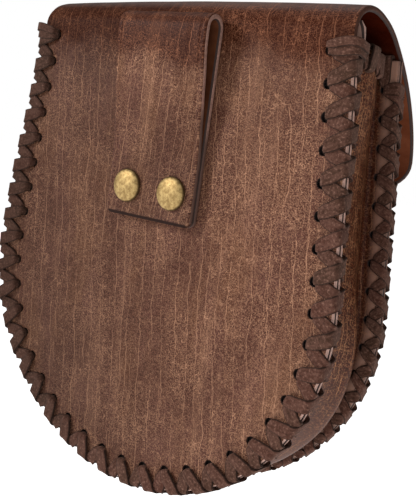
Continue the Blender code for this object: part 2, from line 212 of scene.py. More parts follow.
def flared(points):
    """Points of the back seam, whose rim leans out towards the back along the sides."""
    x, y, z = np.abs(points[..., 0]), points[..., 1], points[..., 2] - BOTTOM_RADIUS
    turn = math.pi / 2 + SIDE_LEAN
    straight = x * math.cos(turn) + z * math.sin(turn) > 0
    outward = np.where(straight, x * math.sin(turn) - z * math.cos(turn), np.hypot(x, z)) - BOTTOM_RADIUS
    share = np.clip((outward + GUSSET_INSET) / (BACK_MARGIN + GUSSET_INSET), 0.0, 1.25) ** 1.3
    share = share * smooth(z, -0.066, -0.018) * (1 - smooth(z, 0.030, 0.080))
    share = share * smooth(y, -0.014, -0.007)
    return points + RIM_FLARE * share[..., None] * np.array([0.0, 1.0, 0.0])


# Meshes

def scene_object(name, data):
    item = bpy.data.objects.new(name, data)
    bpy.context.scene.collection.objects.link(item)
    return item


def mesh_object(name, points, faces, materials, slots, uv, edge_uv=None):
    """An object of those faces. Edge coordinates serve the faces of slot 2 and above."""
    mesh = bpy.data.meshes.new(name)
    mesh.from_pydata((points - BEARING).tolist(), [], faces)
    for material in materials:
        mesh.materials.append(material)
    mesh.polygons.foreach_set("material_index", np.asarray(slots, np.int32))
    corners = np.zeros(len(mesh.loops), np.int32)
    mesh.loops.foreach_get("vertex_index", corners)
    flat = np.asarray(uv, np.float32)[corners]
    if edge_uv is not None:
        on_edge = np.repeat(slots, [len(face) for face in faces]) >= 2
        flat[on_edge] = np.asarray(edge_uv, np.float32)[corners[on_edge]]
    mesh.uv_layers.new(name="Sheet").uv.foreach_set("vector", flat.ravel())
    mesh.shade_smooth()
    face_outward(mesh)
    return scene_object(name, mesh)


def face_outward(mesh):
    """Turn the faces of a closed mesh about where they enclose a negative volume."""
    co = np.zeros(len(mesh.vertices) * 3)
    mesh.vertices.foreach_get("co", co)
    mesh.calc_loop_triangles()
    corners = np.zeros(len(mesh.loop_triangles) * 3, np.int32)
    mesh.loop_triangles.foreach_get("vertices", corners)
    a, b, c = co.reshape(-1, 3)[corners.reshape(-1, 3)].transpose(1, 0, 2)
    if np.sum(np.cross(a, b) * c) < 0:
        mesh.flip_normals()


def circle(radius, y, sides):
    """Points round the Y axis."""
    angles = 2 * math.pi * np.arange(sides) / sides
    return np.stack([radius * np.cos(angles), np.full(sides, y), radius * np.sin(angles)], axis=1)


def tube_faces(near, far):
    """Quads between two closed rings of indices."""
    return np.stack([near, np.roll(near, -1), np.roll(far, -1), far], axis=1).tolist()


def tube_ends(first, last):
    """The two faces that close a tube."""
    return [first[::-1].tolist(), last.tolist()]


def border_of(rows, columns):
    """Indices round a grid's border, so that the grid lies on the left."""
    grid = np.arange(rows * columns).reshape(rows, columns)
    return np.concatenate([grid[0], grid[1:, -1], grid[-1, -2::-1], grid[-2:0:-1, 0]])


def leather_sheet(name, grid, inward, thick, uv, materials, rounding=EDGE_ROUND, rim_from=None, wrap=1):
    """A sheet with a grain side, a flesh side and a rounded cut edge.

    The grid is the grain side, without the rounding at its border, and inward goes to the flesh
    side. The materials are those of the grain, the flesh, the cut edge, the dark edge that the rows
    from rim_from on have (dye on the flap's rim, partly painted shade at the loop's tip), and the
    inner arris. The grain's colour runs over the first rings of the rounding, as many as wrap says.
    """
    rows, columns = grid.shape[:2]
    count = rows * columns
    outer = grid.reshape(-1, 3)
    inward = np.broadcast_to(inward, grid.shape).reshape(-1, 3)
    inner = outer + inward * thick
    uv = uv.reshape(-1, 2)
    border = border_of(rows, columns)
    edge = outer[border]
    before = edge - np.roll(edge, 1, axis=0)
    along = np.roll(edge, -1, axis=0) - np.roll(edge, 1, axis=0)
    down = unit(inward[border])
    out = unit(np.cross(unit(along), -down))
    miter = np.clip(np.sum(out * unit(np.cross(unit(before), -down)), axis=1, keepdims=True), 0.6, 1)
    if np.mean(np.sum(out * (edge - grid[rows // 2, columns // 2]), axis=1)) < 0:
        out = -out
    out = out / miter * rounding
    rings = []
    for angle in np.radians((30, 60, 90)):
        rings.append(edge + out * math.sin(angle) + down * rounding * (1 - math.cos(angle)))
    for angle in np.radians((0, 30, 60)):
        rings.append(edge + out * math.cos(angle) + down * (thick + rounding * (math.sin(angle) - 1)))
    run = np.cumsum(np.linalg.norm(before, axis=1))
    depths = np.linspace(0, thick, len(rings) + 2)[1:-1] + 1.0
    ring_uv = [np.stack([run, np.full(len(run), depth)], axis=1) for depth in depths]
    points = np.concatenate([outer, inner] + rings)
    uvs = np.concatenate([uv, uv] + [uv[border] + 0.0003 * k for k in range(len(rings))])
    edge_uvs = np.concatenate([uv, uv] + ring_uv)
    index = np.arange(count).reshape(rows, columns)
    a, b, c, d = (part.ravel() for part in (index[:-1, :-1], index[:-1, 1:], index[1:, 1:], index[1:, :-1]))
    both_sides = np.stack([a, b, c, d, a + count, d + count, c + count, b + count], axis=1)
    faces, slots = both_sides.reshape(-1, 4).tolist(), [0, 1] * len(a)
    size = len(border)
    chain = [border] + [2 * count + k * size + np.arange(size) for k in range(len(rings))]
    chain.append(border + count)
    dark_rim = np.zeros(size, bool) if rim_from is None else border >= rim_from * columns
    for step, (near, far) in enumerate(zip(chain, chain[1:])):
        faces += np.stack([np.roll(near, -1), near, far, np.roll(far, -1)], axis=1).tolist()
        if step < wrap:
            slots += [0] * size
        elif step < len(rings) - 1:
            slots += np.where(dark_rim, 3, 2).tolist()
        else:
            slots += [4] * size
    return mesh_object(name, points, faces, materials, slots, uvs, edge_uvs)


def cut_holes(item, holes, material):
    """Cut round holes along Y: each hole is (centre, radius, lowest y, highest y)."""
    sides, points, faces = 20, [], []
    for index, (centre, radius, low, high) in enumerate(holes):
        points += [circle(radius, y, sides) + (centre[0], 0.0, centre[2]) for y in (low, high)]
        near = 2 * sides * index + np.arange(sides)
        faces += tube_faces(near, near + sides) + tube_ends(near, near + sides)
    points = np.concatenate(points)
    cutter = mesh_object("cutter", points, faces, [material], [0] * len(faces), np.zeros((len(points), 2)))
    modifier = item.modifiers.new("holes", "BOOLEAN")
    modifier.operation = "DIFFERENCE"
    modifier.solver = "EXACT"
    modifier.material_mode = "TRANSFER"
    modifier.object = cutter
    bpy.context.view_layer.update()
    made = bpy.data.meshes.new_from_object(item.evaluated_get(bpy.context.evaluated_depsgraph_get()))
    item.modifiers.clear()
    item.data = made
    bpy.data.objects.remove(cutter)


# Panels

def coons(bottom, top, left, right):
    """A grid between four border curves; the first index goes from bottom to top."""
    rows, columns = len(left), len(bottom)
    v = np.linspace(0, 1, rows)[:, None, None]
    u = np.linspace(0, 1, columns)[None, :, None]
    ruled = (1 - v) * bottom[None] + v * top[None] + (1 - u) * left[:, None] + u * right[:, None]
    corners = ((1 - u) * (1 - v) * bottom[0] + u * (1 - v) * bottom[-1]
               + (1 - u) * v * top[0] + u * v * top[-1])
    return ruled - corners


def panel_patch(margin, y, end_run):
    """A grid inside the outline, its lower corners where the run is PANEL_CORNER."""
    bottom = pouch(np.linspace(-PANEL_CORNER, PANEL_CORNER, PANEL_COLUMNS), margin, y)
    right = pouch(np.linspace(PANEL_CORNER, end_run, PANEL_ROWS), margin, y)
    left = right * np.array([-1.0, 1.0, 1.0])
    share = np.linspace(0, 1, PANEL_COLUMNS)[:, None]
    top = left[-1] * (1 - share) + right[-1] * share
    return coons(bottom, top, left, right)


def inside_seam(grid, side_line, drop, near, far):
    """0 at a panel's seam and 1 well inside it, rising from near to far."""
    x, z = grid[..., 0], grid[..., 2] + drop - BOTTOM_RADIUS
    low = BOTTOM_RADIUS - np.hypot(x, np.minimum(z, 0))
    return smooth(np.minimum(side_line - np.abs(x), low), near, far)


def walk_line(distances, walked, y, z):
    """y, z and the direction of a dense line at those distances."""
    at = [np.interp(distances, walked, values) for values in (y, z)]
    slope = [np.interp(distances, walked, np.gradient(values, walked)) for values in (y, z)]
    return *at, *(slope / np.hypot(*slope))


def corner_steps(corner, rounding, steps):
    """Distances from an end where the rows of a rounded corner lie, the nearest last."""
    return rounding + (corner - rounding) * (1 - np.sin(np.linspace(0, math.pi / 2, steps)[1:]))


def rounded_half(half, left, corner, rounding):
    """Half widths of rows whose way to the end is left, with that end's corners rounded."""
    bend = np.sqrt(np.maximum((corner - rounding) ** 2 - (corner - left) ** 2, 0.0))
    return np.where(left < corner, half + rounding - corner + bend, half)


def swept(half, across, y, z, inward_y, inward_z):
    """A grid of rows across a line, and its directions inward."""
    spread = lambda values: np.broadcast_to(values[:, None], (len(y), len(across)))
    grid = np.stack([half[:, None] * across, spread(y), spread(z)], axis=-1)
    return grid, np.stack([np.zeros(grid.shape[:2]), spread(inward_y), spread(inward_z)], axis=-1)


def flap_line():
    """Dense line of the roll and flap: distance, y, z, crown share and inset share."""
    lengths, turns, crowns, insets = np.array(FLAP_SECTIONS).T
    ends = running(lengths)
    walked = np.linspace(0.0, ends[-1], 400)
    step = walked[1]
    bend = np.interp(walked, (ends[1:] + ends[:-1]) / 2, np.radians(turns) / lengths)
    bend *= math.radians(turns.sum()) / (bend.sum() * step)
    heading = math.pi / 2 + running((bend[1:] + bend[:-1]) / 2 * step)
    middle = (heading[1:] + heading[:-1]) / 2
    y = running(np.cos(middle) * step)
    z = float(outline(ROLL_START, BACK_MARGIN)[1]) + running(np.sin(middle) * step)
    shares = (np.interp(walked, ends, np.concatenate([[0.0], share])) for share in (crowns, insets))
    return walked, y, z, *shares


def back_panel(materials):
    """Back, roll and flap in one sheet."""
    lower = panel_patch(BACK_MARGIN - EDGE_ROUND, 0.0, ROLL_START)
    walked, line_y, line_z, crowns, insets = flap_line()
    end = walked[-1]
    distances = np.concatenate([np.linspace(0, end - FLAP_CORNER, FLAP_ROWS)[1:],
                                end - corner_steps(FLAP_CORNER, EDGE_ROUND, 9)])
    y, z, slope_y, slope_z = walk_line(distances, walked, line_y, line_z)
    full = float(outline(ROLL_START, BACK_MARGIN)[0]) - EDGE_ROUND
    half = full - FLAP_INSET * np.interp(distances, walked, insets)
    half = rounded_half(half, end - distances, FLAP_CORNER, EDGE_ROUND)
    across = np.linspace(-1, 1, PANEL_COLUMNS)
    flap, flap_inward = swept(half, across, y, z, -slope_z, slope_y)
    crown = np.interp(distances, walked, crowns)[:, None]
    rise = crown * (ROLL_CROWN * (1 - across ** 2) - ROLL_TILT * (1 + across) / 2)
    grid = np.concatenate([lower, flap - flap_inward * rise[..., None]])
    inward = np.concatenate([np.broadcast_to([0.0, -1.0, 0.0], lower.shape), flap_inward])
    beyond = np.broadcast_to((lower[-1, 0, 2] + distances)[:, None], flap.shape[:2])
    v = np.concatenate([lower[..., 2], beyond])
    uv = np.stack([grid[..., 0], v], axis=-1)
    calm = inside_seam(grid, BACK_CALM, 0.0, 0.004, 0.030)
    free = smooth(v, 0.215, 0.300)
    at = np.stack([uv[..., 0], v, 0 * v], -1)
    waves = wobble(at, 0.045, 3.1)
    lift = calm * (0.0005 * waves + 0.00012 * wobble(at, 0.016, 7.7)) + free * 0.0009 * waves
    lift -= 0.0010 * free * np.abs(across) ** 3 * smooth(np.abs(across), 0.5, 1.0)
    grid = flared(grid - inward * lift[..., None])
    return leather_sheet("back_and_flap", grid, inward, PANEL_THICK, uv, materials, rim_from=PANEL_ROWS - 4)


def front_panel(materials):
    """The front, bellied a little."""
    end = float(top_run(FRONT_Y)) - EDGE_ROUND
    grid = panel_patch(FRONT_MARGIN - EDGE_ROUND, FRONT_Y, end)
    uv = grid[..., [0, 2]] + FRONT_SHEET
    calm = inside_seam(grid, FRONT_CALM, FRONT_DROP, 0.002, 0.030)
    belly = 0.0012 * smooth(calm, 0, 1) * np.exp(-((grid[..., 2] - 0.07) / 0.06) ** 2)
    grid[..., 1] -= belly + calm * 0.0005 * wobble(grid, 0.05, 11.3)
    inward = np.array([0.0, 1.0, FRONT_DROP / POUCH_DEPTH])
    return leather_sheet("front_leather", grid, inward, PANEL_THICK, uv, materials)


# Gusset

def gusset_section():
    """Points across the strip, as distance outside the hole line and y, from the back flange's rim."""
    centre = (GUSSET_BEND - GUSSET_INSET, -(STACK + GUSSET_BEND))
    bend = [(centre[0] - GUSSET_BEND * math.sin(a), centre[1] + GUSSET_BEND * math.cos(a))
            for a in np.linspace(0, math.pi / 2, BEND_ROWS)]
    flange = lambda margin: [(out, -STACK)
                             for out in np.linspace(margin - EDGE_ROUND, centre[0], FLANGE_ROWS)[:-1]]
    flip = lambda points: [(out, FRONT_Y - y) for out, y in reversed(points)]
    web = [(bend[-1][0], y) for y in np.linspace(bend[-1][1], FRONT_Y - bend[-1][1], WEB_ROWS)[1:-1]]
    return np.array(flange(BACK_MARGIN) + bend + web + flip(bend) + flip(flange(FRONT_MARGIN)))


def gusset(materials):
    """The strip round the sides and the bottom, with an ear at the top of its back flange."""
    section = gusset_section()
    outward, y = section.T
    rear = y > -STACK - 0.0001
    ear = EAR_HEIGHT * smooth(outward, 0.0010, 0.0034) - EAR_SLOPE * smooth(outward, 0.0058, 0.0080)
    ends = top_run(y) - EDGE_ROUND + np.where(rear, ear, 0.0)
    runs = np.linspace(-1, 1, GUSSET_COLUMNS)[None, :] * ends[:, None]
    grid = pouch(runs, outward[:, None] + bulge(runs, y[:, None]), y[:, None])
    flare = smooth(grid[..., 2], 0.1825, 0.1870) * smooth(outward, 0.0, 0.0060)[:, None] * rear[:, None]
    over = np.where(rear[:, None], np.clip((grid[..., 2] - 0.1890) / 0.0050, 0.0, 1.2), 0.0)
    grid[..., 1] -= 0.0011 * flare + 0.0012 * over ** 1.5
    grid[..., 0] += 0.0017 * flare * np.sign(grid[..., 0])
    depth = np.clip((-y - 0.008) / (POUCH_DEPTH - 0.016), 0, 1)
    lift = np.sin(math.pi * depth)[:, None] * 0.00035 * wobble(grid, 0.030, 5.5)
    normal = unit(np.cross(np.gradient(grid, axis=1), np.gradient(grid, axis=0)))
    if normal[len(section) // 2, GUSSET_COLUMNS // 2, 2] > 0:
        normal = -normal
    grid = flared(grid + normal * lift[..., None])
    walked = np.broadcast_to(length_along(section)[:, None], runs.shape)
    uv = np.stack([walked, runs], axis=-1) + GUSSET_SHEET
    return leather_sheet("gusset_leather", grid, -normal, PANEL_THICK, uv, materials,
                         rim_from=len(section) // 2)


# Belt loop and rivets

def loop_line():
    """Dense middle line of the strap from its hidden end, as y and z."""
    near_y = LOOP_BACK_Y + LOOP_THICK + CLEARANCE
    reach = LOOP_BACK_Y + 2 * LOOP_RADIUS - near_y
    up = [(LOOP_BACK_Y, z) for z in np.linspace(LOOP_BOTTOM, LOOP_FOLD, 120)]
    fold = [(LOOP_BACK_Y + LOOP_RADIUS * (1 - math.cos(a)), LOOP_FOLD + LOOP_RADIUS * math.sin(a))
            for a in np.linspace(0, math.pi, 40)[1:]]
    down = [(near_y + reach * (1 - smooth(share, 0, 1)), LOOP_FOLD + (LOOP_PARTING - LOOP_FOLD) * share)
            for share in np.linspace(0, 1, 90)[1:]]
    end = [(near_y, z) for z in np.linspace(LOOP_PARTING, LOOP_BOTTOM, 60)[1:]]
    return np.array(up + fold + down + end)


LOOP_LINE = loop_line()
LOOP_WALKED = length_along(LOOP_LINE)


def belt_loop(materials):
    """The strap, with a pressed line along its edges and a dent round each cap."""
    total = LOOP_WALKED[-1]
    full = LOOP_WIDTH / 2 - LOOP_EDGE_ROUND
    turn = corner_steps(LOOP_CORNER, LOOP_EDGE_ROUND, 6)[::-1]
    distances = np.concatenate([turn, np.linspace(LOOP_CORNER, total - LOOP_CORNER, LOOP_ROWS),
                                total - turn[::-1]])
    y, z, slope_y, slope_z = walk_line(distances, LOOP_WALKED, *LOOP_LINE.T)
    half = rounded_half(full, np.minimum(distances, total - distances), LOOP_CORNER, LOOP_EDGE_ROUND)
    edge = np.array([0, 0.0004, 0.0009, 0.0013, 0.0016, 0.0019, 0.0023, 0.0029, 0.0038]) / full
    core = np.linspace(-1, 1, LOOP_COLUMNS) * (1 - 0.0050 / full)
    across = np.concatenate([-1 + edge, core, (1 - edge)[::-1]])
    grid, inward = swept(half, across, y, z, slope_z, -slope_y)
    grid = grid - inward * LOOP_THICK / 2
    x, along = grid[..., 0], np.broadcast_to(distances[:, None], grid.shape[:2])
    uv = np.stack([x, along], axis=-1) + LOOP_SHEET
    to_edge = np.minimum(LOOP_WIDTH / 2 - np.abs(x), total - along)
    crease = -0.00022 * np.exp(-((to_edge - 0.0026) / 0.00045) ** 2)
    front = smooth(along, total / 2 - 0.01, total / 2 + 0.01)
    flat = smooth(to_edge, 0.003, 0.008) * smooth(along, total / 2 - 0.02, total / 2 - 0.002)
    at = np.stack([x * 2.6, along * 0.7, 0 * x], -1)
    lift = crease * front + flat * (0.0003 * wobble(at, 0.02, 2.2) + 0.0002 * wobble(at, 0.008, 8.4))
    for sign in (-1, 1):
        away = np.hypot(x - sign * RIVET_SPACING / 2, grid[..., 2] - RIVET_HEIGHT)
        lift -= front * 0.0002 * np.exp(-((away - CAP_RADIUS) / 0.0016) ** 2)
    free = np.clip((grid[..., 2] - LOOP_PARTING) / (LOOP_FOLD - LOOP_PARTING), 0, 1)
    sway = 0.0009 * np.sin(free * math.pi) * front
    grid = grid - inward * lift[..., None]
    grid[..., 0] += sway * wobble(np.stack([0 * x, grid[..., 2], 0 * x], -1), 0.02, 4.0)
    # The rows at the tip take the dark edge: partly a darker burnished edge, partly painted shade along the
    # loop's lower edge.
    return leather_sheet("loop_leather", grid, inward, LOOP_THICK, uv, materials, LOOP_EDGE_ROUND,
                         rim_from=len(grid) - 4, wrap=2)


def rivet(name, side, material):
    """Domed cap, post and back disc, turned about Y."""
    sides, rim, rise = 72, 0.0008, 0.0017
    seat = 2 * (CLEARANCE + LOOP_THICK) + 0.00005
    hidden = -PANEL_THICK - 0.0001
    profile = [(0.0, seat + rim + rise)]
    for a in np.radians(np.linspace(90, 0, 15)[1:]):
        profile.append((CAP_RADIUS * 0.985 * math.cos(a) ** 0.92, seat + rim + rise * math.sin(a) ** 1.05))
    profile += [(CAP_RADIUS, seat + rim * 0.6), (CAP_RADIUS, seat + rim * 0.25), (CAP_RADIUS * 0.97, seat)]
    profile += [(0.0021, seat), (0.0018, seat - 0.0003), (0.0018, hidden), (0.0048, hidden)]
    profile += [(0.0050, hidden - 0.0003), (0.0046, hidden - 0.0009), (0.0030, hidden - 0.0012)]
    points = np.concatenate([[(0.0, profile[0][1], 0.0)]] + [circle(*ring, sides) for ring in profile[1:]]
                            + [[(0.0, profile[-1][1], 0.0)]])
    firsts, faces = range(1, len(points) - 1, sides), []
    for k in range(sides):
        n = (k + 1) % sides
        faces.append((0, 1 + k, 1 + n))
        faces += [(a + k, a + sides + k, a + sides + n, a + n) for a in firsts[:-1]]
        faces.append((firsts[-1] + k, len(points) - 1, firsts[-1] + n))
    dent = smooth(points[:, 1], seat + rim, seat + rim + 0.001)
    points[:, 1] += dent * 0.00006 * wobble(points + side, 0.0022, 1.7)
    uv = points[:, [0, 2]].copy()
    points += np.array([side * RIVET_SPACING / 2, 0.0, RIVET_HEIGHT])
    item = mesh_object(name, points, faces, [material], [0] * len(faces), uv)
    item.data.set_sharp_from_angle(angle=math.radians(50))
    return item


# Lacing

# Height above the leather in lace thicknesses, and how far beyond a hole's middle a leg goes in
LOW_LEG, HIGH_LEG = (0.60, -0.0009), (1.52, -0.0003)
LEG_SPREAD = 0.0005
PINCHED_WIDTH = 0.70

# A strand's section in shares of its half width and half thickness, by its first quarter
QUARTER = np.array([(1.0, 0.35), (0.97, 0.80), (0.88, 1.0), (0.40, 1.0)])
RING = np.concatenate([QUARTER, QUARTER[::-1] * (-1, 1), -QUARTER, QUARTER[::-1] * (1, -1)])


def wrap_path(reach, half, layers, end, snug=0.0):
    """Section of a strand round an edge, as (depth from the edge, across), from hole to hole."""
    corner, turn, dive = 0.0005, 0.0012, 0.0016
    lift = LACE_THICK * layers
    level, edge = half + lift, lift - snug
    side = [(reach + end, level - turn - dive * (1 - k / 3)) for k in range(3)]
    for a in np.linspace(0, math.pi / 2, 6):
        side.append((reach + end - turn + turn * math.cos(a), level - turn + turn * math.sin(a)))
    side += [(depth, level) for depth in np.linspace(reach + end - turn, corner, 9)[1:-1]]
    for a in np.linspace(math.pi / 2, 0, 6):
        side.append((corner - (corner + edge) * math.cos(a), half - corner + (corner + lift) * math.sin(a)))
    return np.array(side + [(-edge, 0.0)] + [(depth, -across) for depth, across in reversed(side)])


class Lacing:
    """Flat lace strands gathered into one mesh."""

    def __init__(self, place, seed):
        self.place = place
        self.random = random.Random(seed)
        self.points, self.faces, self.slots, self.uv, self.tones = [], [], [], [], []
        self.count = 0

    def tube(self, rings, slot, uv, tone):
        """A closed tube through rings of points."""
        sections, around = rings.shape[:2]
        index = self.count + np.arange(sections * around).reshape(sections, around)
        for near, far in zip(index, index[1:]):
            self.faces += tube_faces(near, far)
        self.faces += tube_ends(index[0], index[-1])
        self.slots += [slot] * ((sections - 1) * around + 2)
        self.points.append(rings.reshape(-1, 3))
        self.uv.append(np.broadcast_to(uv, (sections, around, 2)).reshape(-1, 2))
        self.tones.append(np.full(index.size, tone))
        self.count += index.size

    def strand(self, path, start, end, bow=0.0, arch=0.0, width=LACE_WIDTH):
        """One strand along a section path, from one place along the seam to another."""
        rough = self.random.uniform
        lengths = length_along(path)
        total = lengths[-1]
        share = np.clip((lengths - 0.0025) / (total - 0.0050), 0, 1)
        along = start + (end - start) * share + bow * np.sin(math.pi * share)
        along = along + arch * np.sin(2 * math.pi * share) ** 2
        along = along + rough(-0.0003, 0.0003) * np.sin(math.pi * share)
        slope = unit(np.gradient(path, axis=0))
        upward = np.stack([slope[:, 1], -slope[:, 0]], axis=1)
        if upward[len(path) // 2][0] > 0:
            upward = -upward
        centre = self.place(along, *path.T)
        normal = self.place(along, *(path + 1e-5 * upward).T) - centre
        tangent = unit(np.gradient(centre, axis=0))
        normal = unit(normal - tangent * np.sum(normal * tangent, axis=1, keepdims=True))
        wide = np.cross(tangent, normal)
        to_end = np.minimum(lengths, total - lengths)
        pinch = 1 - smooth(to_end, 0.0012, 0.0056)
        full = width * rough(0.96, 1.04) * (1 - (1 - PINCHED_WIDTH) * pinch) / 2
        full = full * (1 + 0.05 * np.sin(math.pi * lengths / total) ** 2)
        full = full * (1 + 0.025 * np.sin(lengths / 0.0021 + rough(0, 6)))
        thick = LACE_THICK / 2 * (1 + 0.25 * pinch)
        curl = 1 - smooth(to_end, 0.001, 0.005)
        rings = []
        for b, c in RING:
            sag = (0.20 * curl + 0.03) * full * abs(b) ** 2
            rings.append(centre + wide * (b * full)[:, None] + normal * (c * thick - sag)[:, None])
        rings = np.stack(rings, axis=1)
        uv = np.broadcast_arrays(RING[:, 0] * LACE_WIDTH / 2, (lengths + rough(0, 1))[:, None])
        self.tube(rings, 0, np.stack(uv, axis=-1), rough(0, 1))

    def layer(self, path, pitch, indices, rising, width=LACE_WIDTH):
        """Strands that cross from hole to hole, all leaning the same way."""
        for index in indices:
            ends = (index * pitch + LEG_SPREAD, (index + 1) * pitch - LEG_SPREAD)
            self.strand(path, *(ends if rising else ends[::-1]), width=width)

    def through(self, along, depth, half, radius):
        """The lace inside a hole, deep enough to leave the hole's mouth dark, with the second material,
        which is painted shade.
        """
        rings = []
        for end in (-half, half):
            x, across, z = circle(radius, end, 12).T
            rings.append(self.place(along + x, depth + z, across))
        self.tube(np.array(rings), 1, 0.0, 0.0)

    def finish(self, name, materials):
        points = np.concatenate(self.points)
        item = mesh_object(name, points, self.faces, materials, self.slots, np.concatenate(self.uv))
        # Painted shade: a share that darkens the lace towards +X.
        lace_painted_shade = smooth(points[:, 0], -0.010, 0.065)
        for key, values in (("tone", np.concatenate(self.tones)), ("lace_painted_shade", lace_painted_shade)):
            layer = item.data.attributes.new(key, "FLOAT", "POINT")
            layer.data.foreach_set("value", values.astype(np.float32))
        return item


def seam_lacing(name, at_back, seed, materials):
    """Cross whipstitch of the back or front seam, with extra turns at its upper ends."""
    middle = -STACK / 2 if at_back else FRONT_Y + STACK / 2
    margin, shift = (BACK_MARGIN, HOLE_SHIFT) if at_back else (FRONT_MARGIN, FRONT_HOLE_SHIFT)
    radius, width = (HOLE_RADIUS, LACE_WIDTH) if at_back else (FRONT_HOLE_RADIUS, FRONT_LACE_WIDTH)
    reach = margin - shift

    def place(along, depth, across):
        points = pouch(along, margin - depth, middle + across)
        return flared(points) if at_back else points

    def place_at_top(along, depth, across):
        """The same for a strand over the front panel's upper edge."""
        return pouch(side * (top - depth), FRONT_HOLE_SHIFT + along, middle + across)

    lacing = Lacing(place, seed)
    low = wrap_path(reach, STACK / 2, *LOW_LEG)
    high = wrap_path(reach, STACK / 2, *HIGH_LEG, 0.0005 if at_back else 0.0006)
    indices = range(-HOLES_PER_SIDE, HOLES_PER_SIDE)
    lacing.layer(low, HOLE_PITCH, indices, at_back, width)
    lacing.layer(high, HOLE_PITCH, indices, not at_back, width)
    last, top = HOLES_PER_SIDE * HOLE_PITCH, float(top_run(FRONT_Y))
    for side in (-1, 1):
        if at_back:
            second = wrap_path(reach, STACK / 2, 2.2, -0.0001)
            third = wrap_path(reach, STACK / 2, 3.1, 0.0002)
            lacing.strand(second, side * (last - 0.0008), side * (last - 0.0008), arch=side * -0.0002,
                          width=0.0046)
            lacing.strand(third, side * (last + 0.0010), side * (last + 0.0008), arch=side * 0.0009,
                          width=0.0034)
        else:
            lacing.strand(high, side * (last - 0.0006), side * (last - 0.0008))
            lacing.place = place_at_top
            over_top = wrap_path(top - last - 0.0012, STACK / 2, 1.2, 0.0)
            lacing.strand(over_top, 0.0002, -0.0004, width=0.0048)
            lacing.place = place
    for run in HOLE_RUNS:
        lacing.through(run, reach, STACK / 2 - MOUTH_DEPTH, radius - 0.0001)
    return lacing.finish(name, materials)


def top_lacing(name, side, materials):
    """Lacing over the gusset's top edge, between the two seams."""
    pitch = (POUCH_DEPTH - STACK - TOP_LACE_FIRST) / TOP_LACE_STEPS

    def place(along, depth, across):
        y = -TOP_LACE_FIRST - along
        run = side * (top_run(y) - depth)
        return pouch(run, -GUSSET_INSET - PANEL_THICK / 2 + bulge(run, y) + across, y)

    lacing = Lacing(place, 40 + side)
    low, high = (wrap_path(TOP_LACE_REACH, PANEL_THICK / 2, *leg) for leg in (LOW_LEG, HIGH_LEG))
    lacing.layer(low, pitch, range(TOP_LACE_STEPS), False)
    lacing.layer(high, pitch, range(TOP_LACE_STEPS), True)
    lacing.strand(high, -0.0004, 0.0, bow=-0.0008)
    return lacing.finish(name, materials)


# Materials

BROWN_DARK, BROWN_MID = (0.058, 0.0172, 0.0105), (0.094, 0.0345, 0.0255)
OLIVE, TAN = (0.106, 0.0410, 0.0205), (0.380, 0.196, 0.117)
# Colours of the painted shade in a bend
BEND_RED, BEND_TAN = (0.025, 0.0044, 0.0015), (0.262, 0.104, 0.055)
GRAIN_GLOSS = 0.08


def darker(colour, factor):
    return tuple(factor * c for c in colour)


